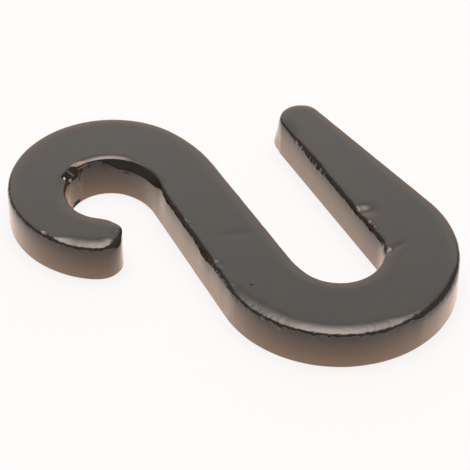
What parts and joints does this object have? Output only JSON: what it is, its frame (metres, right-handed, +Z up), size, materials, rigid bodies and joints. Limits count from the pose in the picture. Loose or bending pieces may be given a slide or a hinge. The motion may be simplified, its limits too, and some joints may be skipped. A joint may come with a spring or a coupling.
{
  "type": "chain hook",
  "caption": "Flat S-shaped chain hook of thick black-enamelled steel plate, with a nearly closed small hook at one end and a long open hook with a tapered tongue at the other.",
  "frame": {"origin": "centre of the hook's box, on its underside", "axes": "+X along the shank, from the small hook to the large hook; +Y towards the large hook's tongue; +Z up, through the plate, with the hook lying flat"},
  "size_m": [0.0484, 0.044, 0.005],
  "materials": {
    "black_enamel": "glossy black enamel, chipped to bare brown metal at one edge"
  },
  "bodies": {
    "root": {"hook": "black_enamel"}
  },
  "joints": []
}
